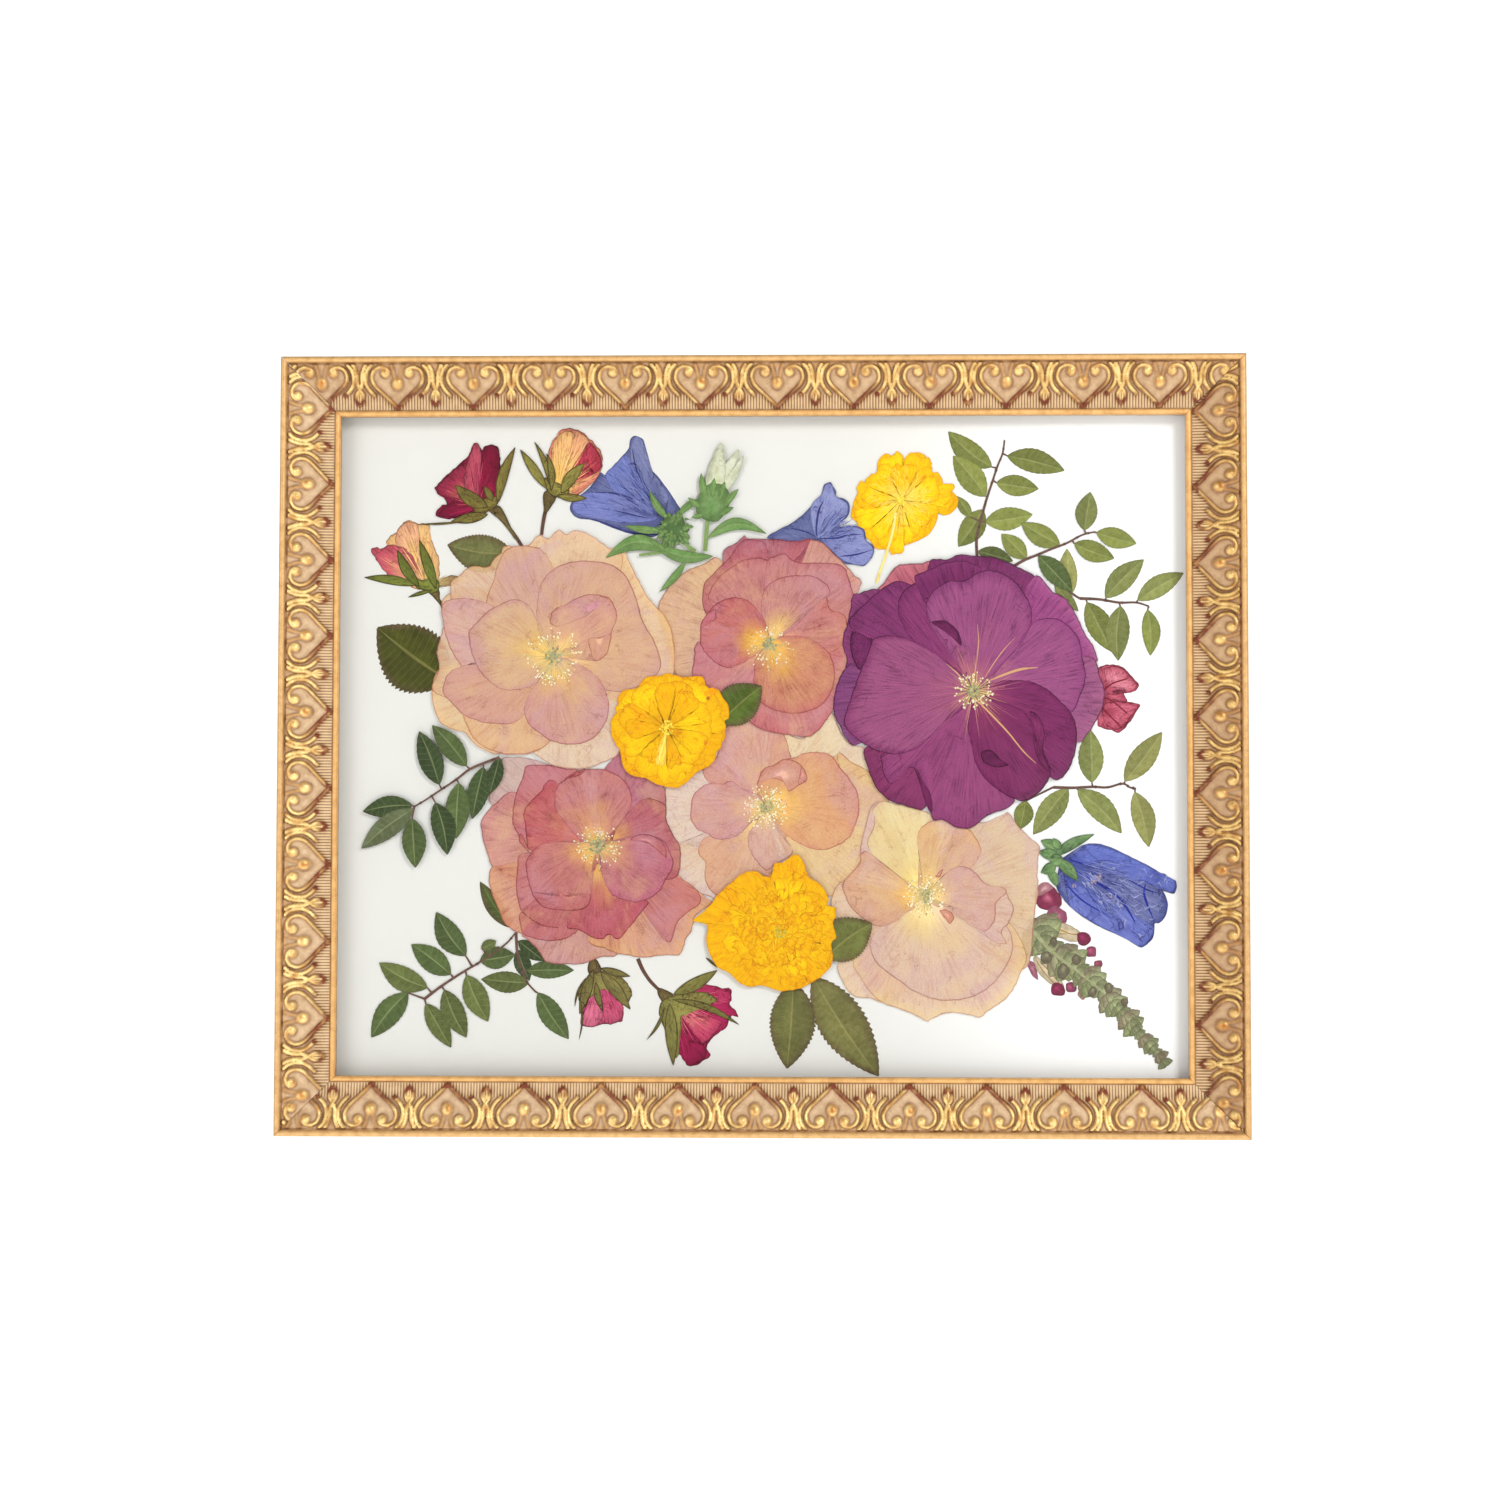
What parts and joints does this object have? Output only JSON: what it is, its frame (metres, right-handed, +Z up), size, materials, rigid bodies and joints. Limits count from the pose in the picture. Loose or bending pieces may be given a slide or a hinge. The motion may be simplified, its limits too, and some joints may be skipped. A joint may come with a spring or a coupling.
{
  "type": "pressed flower frame",
  "caption": "Glazed gilded picture frame that holds pressed roses, yellow flowers, bellflowers, rosebuds and leafy sprigs flat on a white board, with a sawtooth hanger behind.",
  "frame": {"origin": "centre of the whole object's bounding box, behind the centre of the sight opening", "axes": "+X to the viewer's right as the frame hangs, +Y into the wall, +Z up; the glass faces -Y"},
  "size_m": [0.391, 0.0202, 0.3154],
  "materials": {
    "gilded_wood": "moulded ornament under metal leaf with a grey-beige wash and red-brown clay showing in places",
    "glass": "clear flat picture glass",
    "flower_card": "smooth matt off-white mount board",
    "backing_card": "brown hardboard",
    "steel": "zinc-plated sheet",
    "brass": "small brass-plated nails",
    "petal_peach": "dried translucent petals, peach with pink veins",
    "petal_mauve": "dried translucent petals, dusty mauve-pink",
    "petal_purple": "dried petals, deep purple with a fine sheen along the veins",
    "petal_cream": "dried translucent petals, cream with a peach blush",
    "petal_yellow": "dried satin petals, strong yellow with orange creases",
    "petal_blue": "dried petals, violet-blue with fine veins",
    "petal_crimson": "dried bud petals, crimson with cream veins",
    "petal_apricot": "dried bud petals, apricot with red edges",
    "bell_green": "dried soft green calyces and narrow leaves",
    "spike_green": "dried grey-green bracts with pink florets",
    "sprig_leaf": "dried matt leaves on brown twigs",
    "rose_leaf": "dried rose leaves, dark green turning brown-violet"
  },
  "bodies": {
    "root": {"rail_top": "gilded_wood", "rail_right": "gilded_wood", "rail_bottom": "gilded_wood", "rail_left": "gilded_wood", "glass_pane": "glass", "flower_board": "flower_card", "backing_board": "backing_card", "glazier_point_top_a": "steel", "glazier_point_top_b": "steel", "glazier_point_right_a": "steel", "glazier_point_right_b": "steel", "glazier_point_bottom_a": "steel", "glazier_point_bottom_b": "steel", "glazier_point_left_a": "steel", "glazier_point_left_b": "steel", "hanger": "steel", "hanger_nail_left": "brass", "hanger_nail_right": "brass", "rose_peach": "petal_peach", "rose_mauve": "petal_mauve", "rose_purple": "petal_purple", "rose_pink": "petal_mauve", "rose_coral": "petal_peach", "rose_cream": "petal_cream", "yellow_flower_left": "petal_yellow", "yellow_flower_bottom": "petal_yellow", "yellow_flower_top": "petal_yellow", "bellflower_left": "petal_blue", "bellflower_spray": "bell_green", "bellflower_middle": "petal_blue", "bellflower_right": "petal_blue", "rosebud_crimson": "petal_crimson", "rosebud_peach": "petal_apricot", "rosebud_red_peach": "petal_apricot", "rosebud_pink": "petal_crimson", "rosebud_red": "petal_crimson", "flower_spike": "spike_green", "red_floret": "petal_crimson", "sprig_top": "sprig_leaf", "sprig_upper_right": "sprig_leaf", "sprig_middle_right": "sprig_leaf", "sprig_right": "sprig_leaf", "sprig_left": "sprig_leaf", "sprig_lower_left": "sprig_leaf", "sprig_lower_middle": "sprig_leaf", "rose_leaf_top": "rose_leaf", "rose_leaf_left": "rose_leaf", "rose_leaf_centre": "rose_leaf", "rose_leaf_low_centre": "rose_leaf", "rose_leaf_bottom_left": "rose_leaf", "rose_leaf_bottom_right": "rose_leaf", "rose_leaf_sliver": "rose_leaf"}
  },
  "joints": []
}
